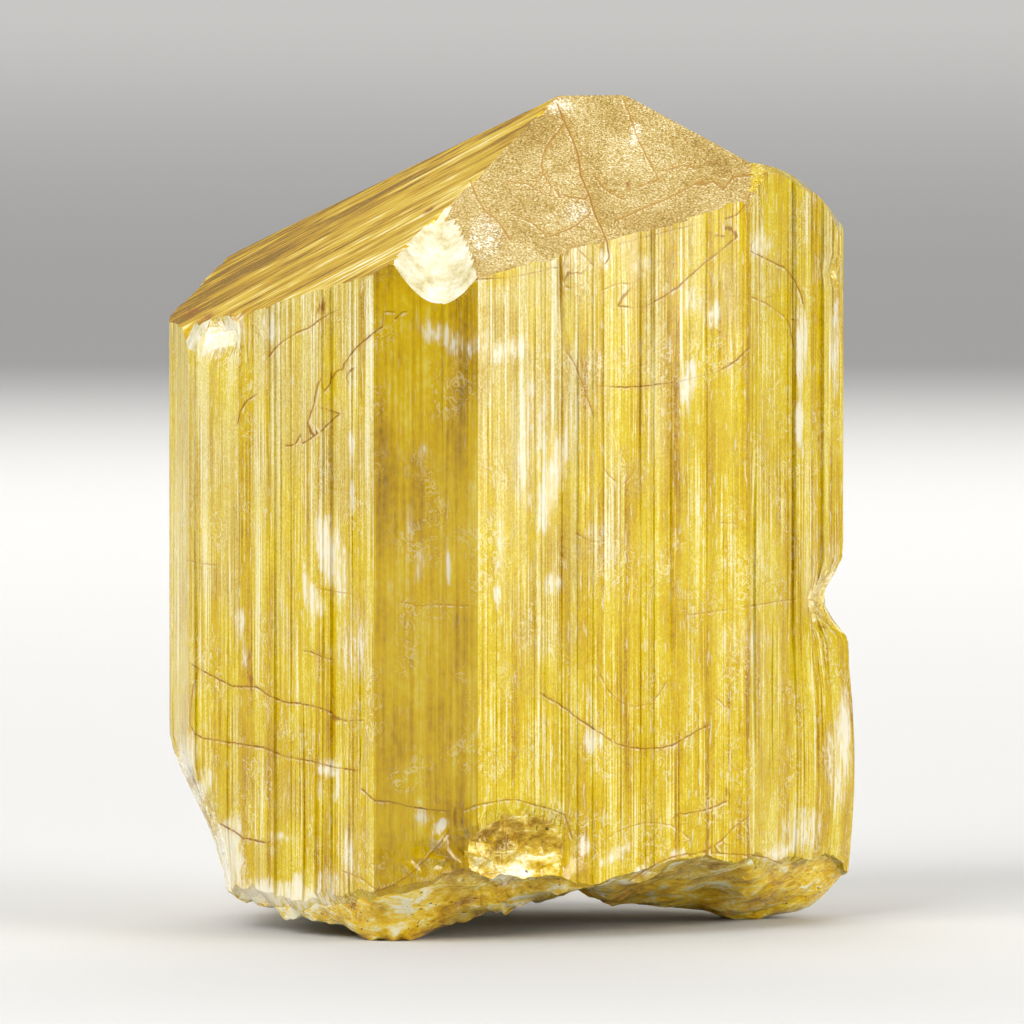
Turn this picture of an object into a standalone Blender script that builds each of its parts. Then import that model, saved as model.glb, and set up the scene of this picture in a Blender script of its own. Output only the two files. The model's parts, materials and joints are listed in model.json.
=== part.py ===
# A single marialite crystal, stout and square in section, about 40 mm tall.
# The column is a tetragonal prism with stepped, striated faces, closed above by a
# four-sided pyramid whose faces meet in a short ridge, and broken below into lobes
# with an arch between them. It stands upright on three small worn flats.
# Lengths in the constants are millimetres; the mesh is turned to metres at the end.

import math

import bmesh
import bpy
from mathutils import Vector, noise

MM = 0.001

# Prism faces round the column: bearing of the outward normal in degrees, counted
# from the front with the right-hand side positive, and distance from the axis.
PRISM_FACES = (
    (-76.0, 15.40),
    (-55.1, 13.63),
    (-1.9, 14.58),
    (34.9, 10.99),
    (61.5, 12.55),
    (88.1, 15.92),
    (124.9, 16.35),
    (151.5, 15.64),
    (178.1, 14.39),
    (214.9, 15.75),
    (241.5, 16.60),
    (268.1, 16.72),
)

# Pyramid faces: bearing, fall per millimetre outward, height at the axis.
PYRAMID_FACES = (
    (16.5, 0.66, 40.79),
    (-73.5, 0.65, 38.83),
    (106.5, 0.65, 43.65),
    (196.5, 0.57, 39.56),
)

# Growth ledges on the prism faces
LEDGE_PITCH = 1.7
LEDGE_DEPTH = 0.26
LEDGE_RISER = 0.12

# Heights of the rows of the column, from below the break to above the pyramid
COLUMN_ROWS = (
    -2.0, 2.2, 3.8, 5.3, 6.9, 8.8, 10.8, 12.8, 14.0, 15.1, 16.8, 18.3, 44.0,
)

# Swellings and hollows of the column: centre, reach in x, y and z, height outward
SIDE_LUMPS = (
    ((16.0, 4.5, 15.5), (5.0, 6.0, 2.2), -1.10),
    ((15.5, 3.5, 7.5), (6.0, 8.0, 9.5), 0.62),
    ((-16.2, 2.6, 1.5), (6.5, 9.0, 7.9), -2.8),
    ((0.8, -13.6, 4.2), (4.2, 4.0, 2.6), -0.95),
)

# The break below, in sections from left to right: place across, height of the front
# rim, place in depth of the lowest line, its height, and height of the rear rim.
# What would pass the ground is worn flat there.
BREAK_SECTIONS = (
    (-16.5, 3.4, 0.5, 3.3, 3.8),
    (-14.6, 2.6, -1.0, 2.3, 3.2),
    (-13.6, 2.2, -2.5, 1.6, 3.0),
    (-12.0, 2.3, -5.0, 1.2, 3.0),
    (-10.2, 2.1, -8.0, 0.90, 2.8),
    (-8.0, 2.8, -9.9, 0.55, 2.6),
    (-6.9, 2.9, -10.6, -0.15, 2.6),
    (-4.6, 3.4, -10.4, -0.15, 2.6),
    (-3.2, 3.8, -9.5, 0.72, 2.8),
    (-1.6, 3.9, -8.5, 0.97, 3.0),
    (0.7, 3.5, -7.5, 1.70, 3.2),
    (2.5, 2.8, -5.0, 1.85, 3.4),
    (3.4, 2.8, -3.0, 2.05, 3.4),
    (4.4, 2.8, 0.5, 1.10, 3.4),
    (6.1, 3.3, 2.0, 0.90, 3.2),
    (9.3, 3.9, 3.6, 0.45, 3.0),
    (10.3, 3.9, 4.1, -0.15, 2.8),
    (12.4, 3.6, 4.1, -0.15, 2.8),
    (14.0, 3.2, 4.2, 0.70, 2.8),
    (15.3, 3.0, 4.3, 1.60, 2.8),
    (16.4, 2.9, 4.5, 2.80, 3.0),
)
REAR_LOBE = ((-7.8, 9.4), (5.4, 4.4), 3.2)
HACKLE_SIZE = 2.6
HACKLE_HEIGHT = 0.45

# Worn flats that the crystal stands on: place, radius, and the slope around them
FOOT_FLATS = (((-5.8, -10.2), 1.9), ((11.4, 4.1), 1.9), ((-7.9, 9.3), 2.0))
FOOT_SLOPE = 1.3

# The broken surface is laid on a net of cells with unevenly placed corners, a little
# wider than the column, and what the break took away reaches down from it.
NET_CELL = 1.3
NET_UNEVEN = 0.7
NET_REACH = (19.0, 17.0)
NET_DEPTH = 6.0

# Flat breaks at the upper edge: a point on the break and its outward direction
TOP_CHIPS = (
    ((-3.41, -10.54, 34.76), (-0.235, -0.675, 0.70)),
    ((-15.5, -1.7, 27.7), (-0.846, -0.44, 0.298)),
)

# Right shoulder: where it starts across the top, where it is full and how far it
# then stands above the pyramid, and the rounds that turn it into the column.
SHOULDER_START = 11.5
SHOULDER_FULL = 13.5
SHOULDER_RISE = 1.05
SHOULDER_CUTS = (
    ((13.6, -1.3, 36.35), (0.50, -0.22, 0.84)),
    ((15.2, 1.7, 34.95), (0.72, -0.16, 0.67)),
    ((15.95, 3.2, 33.2), (0.93, -0.1, 0.36)),
)


def bearing_vector(degrees):
    """Unit vector across the ground for a bearing counted from the front."""
    angle = math.radians(degrees)
    return Vector((math.sin(angle), -math.cos(angle)))


def plan_corners():
    """Corners of the prism in plan, each where two neighbouring faces cross."""
    corners = []
    for i, (bearing, distance) in enumerate(PRISM_FACES):
        next_bearing, next_distance = PRISM_FACES[(i + 1) % len(PRISM_FACES)]
        a = bearing_vector(bearing)
        b = bearing_vector(next_bearing)
        det = a.x * b.y - a.y * b.x
        x = (distance * b.y - next_distance * a.y) / det
        y = (a.x * next_distance - b.x * distance) / det
        corners.append(Vector((x, y)))
    return corners


def ledge_offset(face, step):
    """How far one growth ledge of a face stands in or out."""
    return LEDGE_DEPTH * (noise.noise(Vector((face * 3.7, step * 1.31, 0.5))))


def plan_outline():
    """The stepped outline of the column, once round."""
    corners = plan_corners()
    outline = []
    for i, (bearing, _) in enumerate(PRISM_FACES):
        start = corners[i - 1]
        end = corners[i]
        out = bearing_vector(bearing)
        along = end - start
        length = along.length
        along.normalize()
        steps = max(1, round(length / LEDGE_PITCH))
        for k in range(steps):
            shift = out * ledge_offset(i, k)
            left = length * k / steps + LEDGE_RISER
            right = length * (k + 1) / steps - LEDGE_RISER
            outline.append(start + along * left + shift)
            outline.append(start + along * right + shift)
    return outline


def bump(point, centre, reach):
    """One in the middle of a lump, falling smoothly to nothing at its reach."""
    d = sum(((point[i] - centre[i]) / reach[i]) ** 2 for i in range(len(reach)))
    return (1.0 - d) ** 2 if d < 1.0 else 0.0


def side_shift(x, y, z):
    """How far the column's surface stands out of its prism at a point."""
    return sum(height * bump((x, y, z), centre, reach) for centre, reach, height in SIDE_LUMPS)


def plan_span(x):
    """Front and rear edge of the plan at a place across."""
    corners = plan_corners()
    crossings = []
    for a, b in zip(corners, corners[1:] + corners[:1]):
        low, high = sorted((a.x, b.x))
        if low <= x <= high and high - low > 1e-6:
            crossings.append(a.y + (b.y - a.y) * (x - a.x) / (b.x - a.x))
    if not crossings:
        return 0.0, 4.0
    return min(crossings), max(crossings)


def break_section(x):
    """Heights and lowest place of the break at a place across."""
    if x <= BREAK_SECTIONS[0][0]:
        return BREAK_SECTIONS[0][1:]
    for a, b in zip(BREAK_SECTIONS, BREAK_SECTIONS[1:]):
        if x <= b[0]:
            t = (x - a[0]) / (b[0] - a[0])
            return tuple(p + (q - p) * t for p, q in zip(a[1:], b[1:]))
    return BREAK_SECTIONS[-1][1:]


def base_height(x, y):
    """Height of the broken underside above the ground."""
    front_rim, keel_y, keel, rear_rim = break_section(x)
    front, rear = plan_span(x)
    if y < keel_y:
        t = min(1.0, (keel_y - y) / max(0.5, keel_y - front))
        z = keel + (front_rim - keel) * t ** 1.3
    else:
        t = min(1.0, (y - keel_y) / max(0.5, rear - keel_y))
        z = keel + (rear_rim - keel) * t ** 0.8
    centre, reach, hang = REAR_LOBE
    z -= hang * bump((x, y), centre, reach)
    rough = noise.noise(Vector((x, y, 0.0)) / HACKLE_SIZE)
    fine = noise.noise(Vector((x, y, 7.0)) * 2.3 / HACKLE_SIZE)
    z += HACKLE_HEIGHT * (rough + 0.5 * fine) * min(1.0, max(0.0, z))
    z = max(z, 0.12)
    for (foot_x, foot_y), radius in FOOT_FLATS:
        away = math.hypot(x - foot_x, y - foot_y) - radius
        z = min(z, FOOT_SLOPE * max(0.0, away))
    return z


def build_column(bm, outline):
    """The column: the stepped outline carried up row by row and closed at its ends."""
    layer = bm.verts.layers.int.new("column")
    ring = bmesh.ops.create_circle(bm, segments=len(outline), radius=1.0)["verts"]
    edges = bm.edges[:]
    for i, v in enumerate(ring):
        v[layer] = i

    def place(verts, z):
        for v in verts:
            point = outline[v[layer]]
            moved = point + point.normalized() * side_shift(point.x, point.y, z)
            v.co = (moved.x, moved.y, z)

    place(ring, COLUMN_ROWS[0])
    bmesh.ops.contextual_create(bm, geom=edges)
    for z in COLUMN_ROWS[1:]:
        made = bmesh.ops.extrude_edge_only(bm, edges=edges)["geom"]
        verts = [g for g in made if isinstance(g, bmesh.types.BMVert)]
        fresh = set(verts)
        edges = [g for g in made if isinstance(g, bmesh.types.BMEdge)]
        edges = [e for e in edges if e.verts[0] in fresh and e.verts[1] in fresh]
        place(verts, z)
    bmesh.ops.contextual_create(bm, geom=edges)


def build_break(bm):
    """The body that the break takes away: a rough net with the ground below it."""
    reach_x, reach_y = NET_REACH
    cells_x = round(2 * reach_x / NET_CELL)
    cells_y = round(2 * reach_y / NET_CELL)
    bmesh.ops.create_grid(bm, x_segments=cells_x, y_segments=cells_y, size=1.0)
    for v in bm.verts:
        x = v.co.x * reach_x
        y = v.co.y * reach_y
        if abs(v.co.x) < 0.99 and abs(v.co.y) < 0.99:
            uneven = noise.noise_vector(Vector((x * 1.7, y * 1.7, 3.0)))
            x += NET_UNEVEN * uneven.x
            y += NET_UNEVEN * uneven.y
        v.co = (x, y, base_height(x, y))
    bmesh.ops.triangulate(bm, faces=bm.faces[:])
    border = [e for e in bm.edges if e.is_boundary]
    for item in bmesh.ops.extrude_edge_only(bm, edges=border)["geom"]:
        if isinstance(item, bmesh.types.BMVert):
            item.co.z = -NET_DEPTH
    bmesh.ops.contextual_create(bm, geom=[e for e in bm.edges if e.is_boundary])
    bmesh.ops.recalc_face_normals(bm, faces=bm.faces[:])


def cut_flat(bm, point, direction):
    """Take away what lies beyond a plane and close the cut with one flat face."""
    geom = bm.verts[:] + bm.edges[:] + bm.faces[:]
    cut = bmesh.ops.bisect_plane(
        bm,
        geom=geom,
        dist=1e-5,
        plane_co=point,
        plane_no=Vector(direction).normalized(),
        clear_outer=True,
    )["geom_cut"]
    edges = [g for g in cut if isinstance(g, bmesh.types.BMEdge)]
    if edges:
        bmesh.ops.edgeloop_fill(bm, edges=edges)


def score(bm, point, direction):
    """Lay a line of edges where a plane crosses the surface, taking nothing away."""
    geom = bm.verts[:] + bm.edges[:] + bm.faces[:]
    bmesh.ops.bisect_plane(
        bm,
        geom=geom,
        dist=1e-5,
        plane_co=point,
        plane_no=Vector(direction).normalized(),
    )


def cut_top(bm):
    """Pyramid faces, the two upper breaks and the round of the right shoulder."""
    for bearing, fall, height in PYRAMID_FACES:
        out = bearing_vector(bearing)
        cut_flat(bm, (0.0, 0.0, height), (out.x * fall, out.y * fall, 1.0))
    for point, direction in TOP_CHIPS:
        cut_flat(bm, point, direction)
    for x in (SHOULDER_START, (SHOULDER_START + SHOULDER_FULL) / 2, SHOULDER_FULL):
        score(bm, (x, 0.0, 0.0), (1.0, 0.0, 0.0))
    for v in bm.verts:
        share = (v.co.x - SHOULDER_START) / (SHOULDER_FULL - SHOULDER_START)
        if v.co.z > 30.0 and share > 0.0:
            v.co.z += SHOULDER_RISE * min(1.0, share)
    for point, direction in SHOULDER_CUTS:
        cut_flat(bm, point, direction)


def crystal_material():
    """Golden, see-through stone."""
    material = bpy.data.materials.new("golden_marialite")
    material.use_nodes = True
    shader = material.node_tree.nodes["Principled BSDF"]
    shader.inputs["Base Color"].default_value = (0.68, 0.48, 0.10, 1.0)
    shader.inputs["Roughness"].default_value = 0.15
    shader.inputs["Metallic"].default_value = 0.0
    shader.inputs["Transmission Weight"].default_value = 0.6
    shader.inputs["IOR"].default_value = 1.55
    return material


def build_column_body():
    """The column with its pyramid, in millimetres, still whole below."""
    bm = bmesh.new()
    build_column(bm, plan_outline())
    cut_top(bm)
    bmesh.ops.remove_doubles(bm, verts=bm.verts[:], dist=1e-3)
    bmesh.ops.dissolve_degenerate(bm, edges=bm.edges[:], dist=1e-3)
    bmesh.ops.recalc_face_normals(bm, faces=bm.faces[:])
    bmesh.ops.triangulate(bm, faces=bm.faces[:])
    return bm


def middle_of(bm):
    """Middle of the body's box across the ground."""
    xs = [v.co.x for v in bm.verts]
    ys = [v.co.y for v in bm.verts]
    return Vector(((min(xs) + max(xs)) / 2, (min(ys) + max(ys)) / 2, 0.0))


def add_object(name, bm, middle):
    """Turn a body into an object in metres, with the origin under its middle."""
    bmesh.ops.translate(bm, verts=bm.verts[:], vec=-middle)
    bmesh.ops.scale(bm, verts=bm.verts[:], vec=(MM, MM, MM))
    mesh = bpy.data.meshes.new(name)
    bm.to_mesh(mesh)
    bm.free()
    item = bpy.data.objects.new(name, mesh)
    bpy.context.scene.collection.objects.link(item)
    return item


def main():
    for item in list(bpy.data.objects):
        bpy.data.objects.remove(item, do_unlink=True)
    body = build_column_body()
    middle = middle_of(body)
    crystal = add_object("crystal", body, middle)
    crystal.data.materials.append(crystal_material())

    taken = bmesh.new()
    build_break(taken)
    break_away = add_object("break_away", taken, middle)
    break_away.hide_render = True
    break_away.display_type = "WIRE"
    cut = crystal.modifiers.new("broken_base", "BOOLEAN")
    cut.operation = "DIFFERENCE"
    cut.solver = "EXACT"
    cut.object = break_away


main()
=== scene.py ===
# %% [markdown]
# # A golden marialite crystal
#
# One natural crystal, about 40 mm tall, stands on a pale floor. It is a stout
# striated prism with a low pyramid above and a rough break below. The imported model
# holds its plain solid. This script makes the fine surface that stands for it: the
# growth lines, the chips, the cracks and the clear, frosted and milky parts.

# %% The frame
import json
import math
import random

import bmesh
import bpy
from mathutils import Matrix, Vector, noise
from mathutils.kdtree import KDTree

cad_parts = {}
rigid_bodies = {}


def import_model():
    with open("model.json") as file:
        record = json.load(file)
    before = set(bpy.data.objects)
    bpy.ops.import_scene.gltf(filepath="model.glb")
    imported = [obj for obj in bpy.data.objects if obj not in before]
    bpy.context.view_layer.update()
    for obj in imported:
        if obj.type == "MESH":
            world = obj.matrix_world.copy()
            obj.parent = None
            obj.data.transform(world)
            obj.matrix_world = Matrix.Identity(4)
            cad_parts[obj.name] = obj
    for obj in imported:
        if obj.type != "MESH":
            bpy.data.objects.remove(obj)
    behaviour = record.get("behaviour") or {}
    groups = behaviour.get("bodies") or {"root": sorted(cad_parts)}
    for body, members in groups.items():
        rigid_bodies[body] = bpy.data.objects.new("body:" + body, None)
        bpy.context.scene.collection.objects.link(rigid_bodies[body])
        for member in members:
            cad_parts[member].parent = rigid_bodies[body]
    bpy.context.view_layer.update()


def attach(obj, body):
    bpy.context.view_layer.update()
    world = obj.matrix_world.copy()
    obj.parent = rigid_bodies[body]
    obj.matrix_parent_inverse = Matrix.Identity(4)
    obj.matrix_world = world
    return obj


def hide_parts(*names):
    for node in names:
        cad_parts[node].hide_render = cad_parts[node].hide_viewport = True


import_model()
MM = 0.001

# %% [markdown]
# ## The crystal's plan
#
# A tetragonal crystal grows with flat faces, so its plan is a polygon. It could be
# traced point by point, but a face is simpler to describe as a mineralogist does, by
# the way it looks and how far it is from the axis. The corners then follow.

# %% Prism faces, pyramid faces and corners
# name, bearing from the front in degrees with the right positive, distance in mm
PRISM_FACES = (
    ("left sliver", -76.0, 15.40),
    ("left panel", -55.1, 13.63),
    ("amber window", -1.9, 14.58),
    ("right panel", 34.9, 10.99),
    ("right flank", 61.5, 12.55),
    ("right edge", 88.1, 15.92),
    ("rear", 124.9, 16.35),
    ("rear", 151.5, 15.64),
    ("rear", 178.1, 14.39),
    ("rear", 214.9, 15.75),
    ("rear", 241.5, 16.60),
    ("rear", 268.1, 16.72),
)
# name, bearing, fall per mm outward, height at the axis
PYRAMID_FACES = (
    ("frosted face", 16.5, 0.66, 40.79),
    ("golden face", -73.5, 0.65, 38.83),
    ("rear face right", 106.5, 0.65, 43.65),
    ("rear face left", 196.5, 0.57, 39.56),
)
# where the plan's own zero lies from the middle of the crystal's box
MIDDLE = Vector((-0.011, 0.064))


def bearing_vector(degrees):
    """Direction in plan of a bearing from the front."""
    angle = math.radians(degrees)
    return Vector((math.sin(angle), -math.cos(angle)))


def crossing(a, b):
    """Where two lines cross, each given as an outward direction and a distance."""
    (u, p), (v, q) = a, b
    det = u.x * v.y - u.y * v.x
    return Vector(((p * v.y - q * u.y) / det, (u.x * q - v.x * p) / det))


def corners_of(lines):
    """Where each line of a closed outline crosses the next."""
    return [crossing(line, lines[(i + 1) % len(lines)]) for i, line in enumerate(lines)]


LINES = [(bearing_vector(bearing), distance) for _, bearing, distance in PRISM_FACES]
CORNERS = corners_of(LINES)
# the same plan a little smaller, where the top and the underside start, so that
# neighbouring columns of the mesh never cross there
INSET = 0.36
INNER_CORNERS = corners_of([(out, distance - INSET) for out, distance in LINES])
print("plan corners in mm:", [(round(c.x, 1), round(c.y, 1)) for c in CORNERS])

# %% [markdown]
# ## Hollows, swellings and the top
#
# Every departure from the ideal prism is a soft lump: a centre, a reach and a height
# that is negative for a hollow. The top is the lowest of the pyramid planes at each
# place. Two breaks at the upper edge are planes too, and the right shoulder stands
# above the pyramid by one growth step before it rounds off.

# %% Lumps of the column and height of the top
# centre, reach and height in mm: notch, swelling under it, spalled corner, hollow low
# on the front, and then the small nicks in the upright edges
SIDE_LUMPS = (
    ((16.0, 4.5, 15.5), (5.0, 6.0, 2.2), -1.10),
    ((15.5, 3.5, 7.5), (6.0, 8.0, 9.5), 0.62),
    ((-16.2, 2.6, 1.5), (6.5, 9.0, 7.9), -2.8),
    ((0.8, -13.6, 4.4), (4.2, 4.0, 2.6), -0.95),
    ((16.4, 3.0, 31.5), (2.4, 3.0, 0.8), -0.34),
    ((-14.2, -3.6, 28.6), (2.2, 3.0, 1.3), -0.40),
    ((-9.4, -10.3, 30.7), (0.7, 0.9, 0.8), -0.22),
    ((16.6, 3.4, 13.6), (3.0, 4.0, 0.9), 0.16),
)
# a break is a plane: a place on it and the direction that it faces
WINDOW_CHIP = ((-3.41, -10.54, 34.76), (-0.235, -0.675, 0.70))
# the larger break is curved across and dished in its middle
CHIP_MIDDLE, CHIP_CURVE, CHIP_DROP = -3.0, 0.35, 0.2
CHIP_DISH, CHIP_DISH_DEPTH = ((-3.6, -12.6), (2.6, 3.4)), 0.35
CORNER_CHIP = ((-15.5, -1.7, 27.7), (-0.846, -0.44, 0.298))
SHOULDER_START, SHOULDER_FULL, SHOULDER_RISE = 11.5, 13.5, 1.05
SHOULDER_CUTS = (
    ((13.6, -1.3, 36.35), (0.50, -0.22, 0.84)),
    ((15.2, 1.7, 34.95), (0.72, -0.16, 0.67)),
    ((15.95, 3.2, 33.2), (0.93, -0.1, 0.36)),
)


def bump(point, centre, reach):
    """One in the middle of a lump, falling smoothly to nothing at its reach."""
    d = sum(((p - c) / r) ** 2 for p, c, r in zip(point, centre, reach))
    return (1.0 - d) ** 2 if d < 1.0 else 0.0


def side_shift(x, y, z):
    """How far the lumps move the side outwards at a place."""
    return sum(height * bump((x, y, z), centre, reach) for centre, reach, height in SIDE_LUMPS)


def plane_height(plane, x, y):
    """Height of a plane over a place in plan."""
    (px, py, pz), (nx, ny, nz) = plane
    return pz - (nx * (x - px) + ny * (y - py)) / nz


def top_height(x, y):
    """Height of the crystal's top at a place, and the name of the surface there."""
    heights = []
    for name, bearing, fall, height in PYRAMID_FACES:
        out = bearing_vector(bearing)
        heights.append((height - fall * (out.x * x + out.y * y), name))
    curve = CHIP_CURVE * (x - CHIP_MIDDLE) ** 2 - CHIP_DROP
    dish = CHIP_DISH_DEPTH * bump((x, y), *CHIP_DISH)
    heights.append((plane_height(WINDOW_CHIP, x, y) + curve - dish, "chip"))
    heights.append((plane_height(CORNER_CHIP, x, y), "chip"))
    z, name = min(heights)
    share = (x - SHOULDER_START) / (SHOULDER_FULL - SHOULDER_START)
    if share > 0.0:
        z += SHOULDER_RISE * min(1.0, share)
        rounds = min(plane_height(cut, x, y) for cut in SHOULDER_CUTS)
        z, name = min(z, rounds), "shoulder"
    return z, name


print("highest point of the pyramid in mm:", round(top_height(3.7, 0.05)[0], 2))

# %% [markdown]
# ## The broken base
#
# The crystal was snapped off its matrix, which leaves a curved, splintery surface.
# Measured sections from left to right give the front rim, the lowest line and the
# rear rim, and noise in two sizes gives the splinters between them. The three places
# that it stands on are worn flat.

# %% Height of the break
# place across, front rim, depth of the lowest line, its height, rear rim, in mm
BREAK_SECTIONS = (
    (-16.5, 3.4, 0.5, 3.3, 3.8),
    (-14.6, 2.6, -1.0, 2.3, 3.2),
    (-13.6, 2.2, -2.5, 1.6, 3.0),
    (-12.0, 2.3, -5.0, 1.2, 3.0),
    (-10.2, 2.1, -8.0, 0.90, 2.8),
    (-8.0, 2.8, -9.9, 0.55, 2.6),
    (-6.9, 2.9, -10.6, 0.0, 2.6),
    (-4.6, 3.4, -10.4, 0.0, 2.6),
    (-3.2, 3.8, -9.5, 0.72, 2.8),
    (-1.6, 3.9, -8.5, 0.97, 3.0),
    (0.7, 3.5, -7.5, 1.70, 3.2),
    (2.5, 2.8, -5.0, 1.85, 3.4),
    (3.4, 2.8, -3.0, 2.05, 3.4),
    (4.4, 2.8, 0.5, 1.10, 3.4),
    (6.1, 3.3, 2.0, 0.90, 3.2),
    (9.3, 3.9, 3.6, 0.45, 3.0),
    (10.3, 3.9, 4.1, 0.0, 2.8),
    (12.4, 3.6, 4.1, 0.0, 2.8),
    (14.0, 3.2, 4.2, 0.70, 2.8),
    (15.3, 3.0, 4.3, 1.60, 2.8),
    (16.4, 2.9, 4.5, 2.80, 3.0),
)
# centre, reach and how far it hangs down
REAR_LOBE = ((-7.8, 9.4), (5.4, 4.4), 3.2)
# how the break rises from its lowest line to the front and the rear rim
FRONT_RISE, REAR_RISE = 1.3, 0.8
# soft unevenness, then large and small shells: width and height in mm
ROUGH_WIDTH, ROUGH_HEIGHT = 2.6, 0.42
LARGE_SHELL, SMALL_SHELL, SHELL_HEIGHT, SMALL_SHARE = 2.4, 0.9, 0.65, 0.3
SHELL_LEVEL = 0.35
LOWEST = 0.06
# the worn flats: centre and radius, and the slope around them
FOOT_FLATS = (((-5.8, -10.2), 1.3), ((11.4, 4.1), 1.3), ((-7.9, 9.3), 1.5))
FOOT_SLOPE = 1.3


def plan_span(x):
    """Front and rear edge of the plan at a place across."""
    found = []
    for a, b in zip(CORNERS, CORNERS[1:] + CORNERS[:1]):
        low, high = sorted((a.x, b.x))
        if low <= x <= high and high - low > 1e-6:
            found.append(a.y + (b.y - a.y) * (x - a.x) / (b.x - a.x))
    return (min(found), max(found)) if found else (0.0, 4.0)


def break_section(x):
    """Front rim, depth and height of the lowest line, and rear rim at a place across."""
    x = min(max(x, BREAK_SECTIONS[0][0]), BREAK_SECTIONS[-1][0])
    for a, b in zip(BREAK_SECTIONS, BREAK_SECTIONS[1:]):
        if x <= b[0]:
            t = (x - a[0]) / (b[0] - a[0])
            return [p + (q - p) * t for p, q in zip(a[1:], b[1:])]


def ridged(point, size, seed):
    """Splinters: noise folded at its zero, so that it has sharp crests."""
    return 0.5 - abs(noise.noise(Vector((point[0], point[1], seed)) / size))


def base_height(x, y):
    """Height of the break over a place in plan."""
    front_rim, keel_y, keel, rear_rim = break_section(x)
    front, rear = plan_span(x)
    if y < keel_y:
        t = min(1.0, (keel_y - y) / max(0.5, keel_y - front))
        z = keel + (front_rim - keel) * t ** FRONT_RISE
    else:
        t = min(1.0, (y - keel_y) / max(0.5, rear - keel_y))
        z = keel + (rear_rim - keel) * t ** REAR_RISE
    centre, reach, hang = REAR_LOBE
    z -= hang * bump((x, y), centre, reach)
    rough = noise.noise(Vector((x, y, 0.0)) / ROUGH_WIDTH)
    shells = ridged((x * 0.8, y * 1.3), LARGE_SHELL, 3.0) - SHELL_LEVEL
    shells += SMALL_SHARE * (ridged((x, y * 1.5), SMALL_SHELL, 9.0) - SHELL_LEVEL)
    z += (ROUGH_HEIGHT * rough + SHELL_HEIGHT * shells) * min(1.0, max(0.0, z))
    z = max(z, LOWEST)
    for (foot_x, foot_y), radius in FOOT_FLATS:
        away = math.hypot(x - foot_x, y - foot_y) - radius
        z = min(z, FOOT_SLOPE * max(0.0, away))
    return z


print("height of the break at the right foot:", base_height(11.4, 4.1))
print("height of the break in the arch:", round(base_height(3.4, -3.0), 2))

# %% [markdown]
# ## Growth lines
#
# Prism faces of marialite carry lengthwise striations: narrow treads, each a little
# higher or lower than its neighbour, with steep risers between. Displacement from a
# texture would round them off, so each tread gets its own pair of mesh columns. The
# plan is walked once round and a seeded random walk sets the widths and levels.

# %% Treads of every prism face
# name: mean tread width, spread of the levels and widest gap between columns, in mm
TREADS = {
    "left sliver": (1.1, 0.015, 0.30),
    "left panel": (0.34, 0.040, 0.14),
    "amber window": (1.3, 0.012, 0.26),
    "right panel": (0.32, 0.040, 0.14),
    "right flank": (0.40, 0.045, 0.14),
    "right edge": (0.5, 0.040, 0.25),
    "rear": (0.8, 0.060, 0.36),
}
NARROWEST = 0.09
RISER = 0.02
# the relief dies out this near to an upright edge, which keeps the edge straight
EDGE_FADE = 0.4
# broad growth steps under the treads, which hardly show on the clear window
BIG_LEDGE_PITCH, BIG_LEDGE_DEPTH, WINDOW_SHARE = 1.7, 0.26, 0.25
# on the window the treads turn fine from here on, in mm along the face
LINE_BUNDLE_START, LINE_BUNDLE_WIDTH = 4.45, 0.09
# a tread that starts this near to a band becomes the band
CATCH = 0.05
# the broader bands: face, from and to across in mm, tone from dark -1 to pale 1
BANDS = (
    ("left panel", -15.10, -14.55, 0.9),
    ("left panel", -13.12, -12.35, -0.7),
    ("left panel", -12.35, -11.95, 0.9),
    ("left panel", -10.5, -10.1, -0.6),
    ("left panel", -8.9, -8.65, -0.7),
    ("left panel", -6.95, -6.60, 0.8),
    # on the amber window, the two dark bands along its edges are painted shade
    ("amber window", -6.5, -5.6, -1.0),
    ("amber window", -2.7, -2.1, -1.2),
    ("right panel", -1.55, -1.2, 0.6),
    ("right panel", 2.45, 2.9, -0.8),
    ("right panel", 4.30, 4.42, -1.3),
    ("right panel", 4.42, 5.2, 0.6),
    ("right panel", 7.6, 8.0, -1.0),
    ("right panel", 8.4, 9.3, 0.7),
    ("right panel", 9.4, 9.7, -0.8),
    ("right flank", 11.25, 11.45, -1.3),
    ("right flank", 13.9, 14.35, 0.9),
    ("right flank", 14.4, 15.1, -0.8),
    ("right flank", 15.1, 15.5, 0.9),
)


def face_treads(index, name, start, along, length, rng):
    """Start, end, level, lens and tone of each tread along a face."""
    width, spread, _ = TREADS[name]
    big_steps = max(1, round(length / BIG_LEDGE_PITCH))
    marks = sorted(
        ((a - start.x) / along.x, (b - start.x) / along.x, tone)
        for face, a, b, tone in BANDS if face == name
    )
    treads = []
    s = 0.0
    while s < length - 1e-6:
        bundled = name == "amber window" and s > LINE_BUNDLE_START
        mean = LINE_BUNDLE_WIDTH if bundled else width
        end = min(length, s + max(NARROWEST, mean * math.exp(rng.gauss(0.0, 0.55))))
        tone = max(-1.0, min(1.0, rng.gauss(0.0, 0.42)))
        for a, b, mark in marks:
            if a - CATCH <= s < b - CATCH:
                end, tone = b, mark
                break
            if s < a - CATCH < end:
                end = a
        if length - end < NARROWEST:
            end = length
        step = min(big_steps - 1, int((s + end) / 2 / length * big_steps))
        share = WINDOW_SHARE if name == "amber window" else 1.0
        big = share * BIG_LEDGE_DEPTH * noise.noise(Vector((index * 3.7, step * 1.31, 0.5)))
        level = big + spread * rng.gauss(0.0, 1.0)
        lens = (rng.uniform(2.0, 34.0), rng.uniform(3.0, 14.0), spread * rng.gauss(0.0, 1.3))
        treads.append((s, end, level, lens, tone))
        s = end
    return treads


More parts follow.
